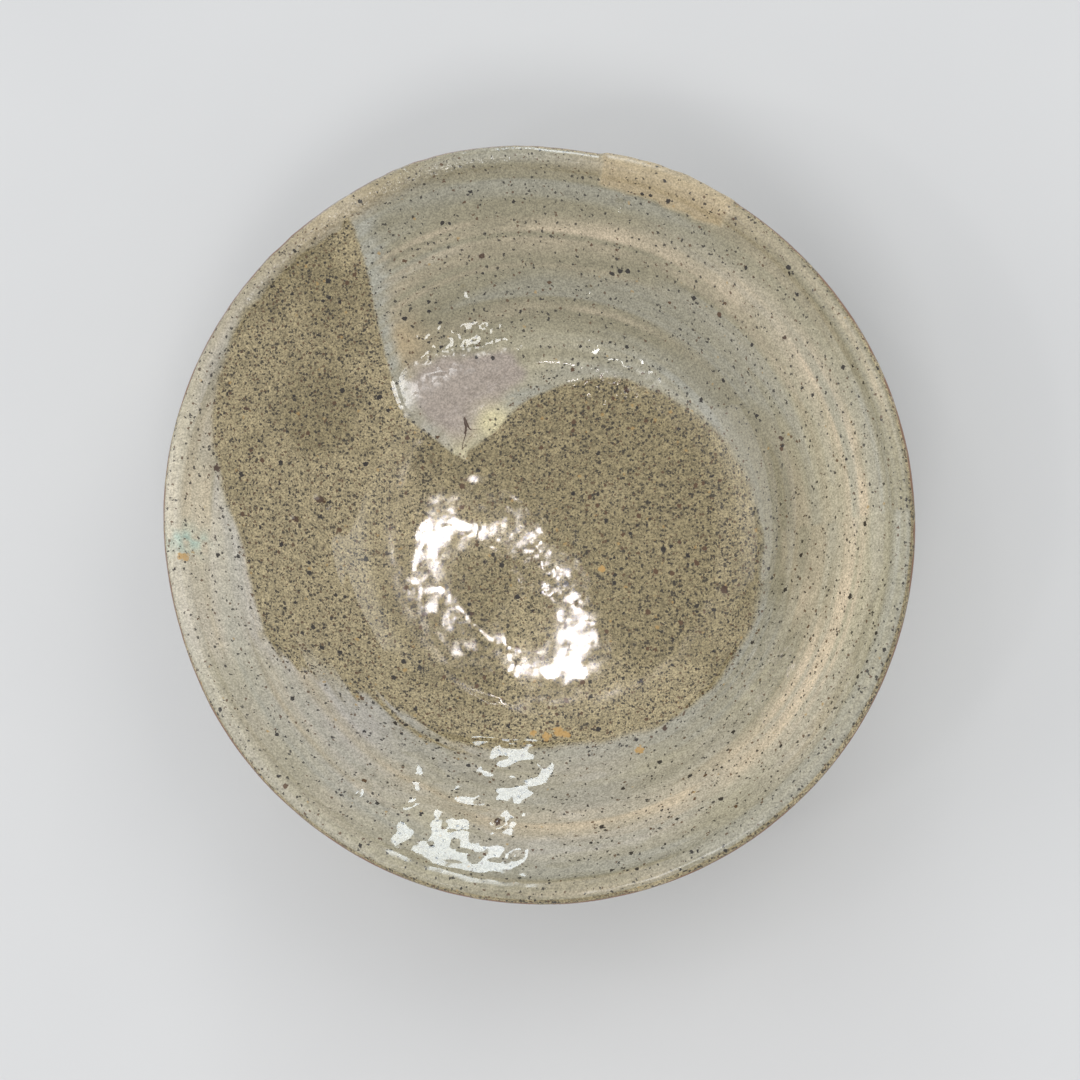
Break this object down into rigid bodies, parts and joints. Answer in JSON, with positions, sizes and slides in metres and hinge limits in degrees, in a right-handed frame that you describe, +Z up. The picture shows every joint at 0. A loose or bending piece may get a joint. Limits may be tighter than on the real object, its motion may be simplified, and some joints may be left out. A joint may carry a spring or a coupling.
{
  "type": "tea bowl",
  "caption": "Wide, shallow, slightly oval stoneware bowl on a low foot ring, glossy and speckled, with pale slip brushed in a comma-shaped sweep inside, for whisking and drinking tea.",
  "frame": {"origin": "centre of the circle the foot ring stands on", "axes": "+Z up out of the bowl's mouth; +X to the right and +Y away from the drinker, with the thick start of the brush stroke at the back left"},
  "size_m": [0.1428, 0.1442, 0.0451],
  "materials": {
    "stoneware": "matte",
    "olive_glaze": "gloss",
    "pale_slip": "gloss",
    "lilac_slip": "gloss",
    "iron_lip": "gloss",
    "peach_slip": "gloss"
  },
  "bodies": {
    "root": {"clay_body": "stoneware", "foot_ring": "stoneware", "inside_glaze": "olive_glaze", "outside_glaze": "olive_glaze", "inside_slip_swirl": "pale_slip", "outside_slip_band": "pale_slip", "inside_slip_pool": "lilac_slip", "lip_iron_band": "iron_lip", "rim_slip_patch": "peach_slip"}
  },
  "joints": []
}
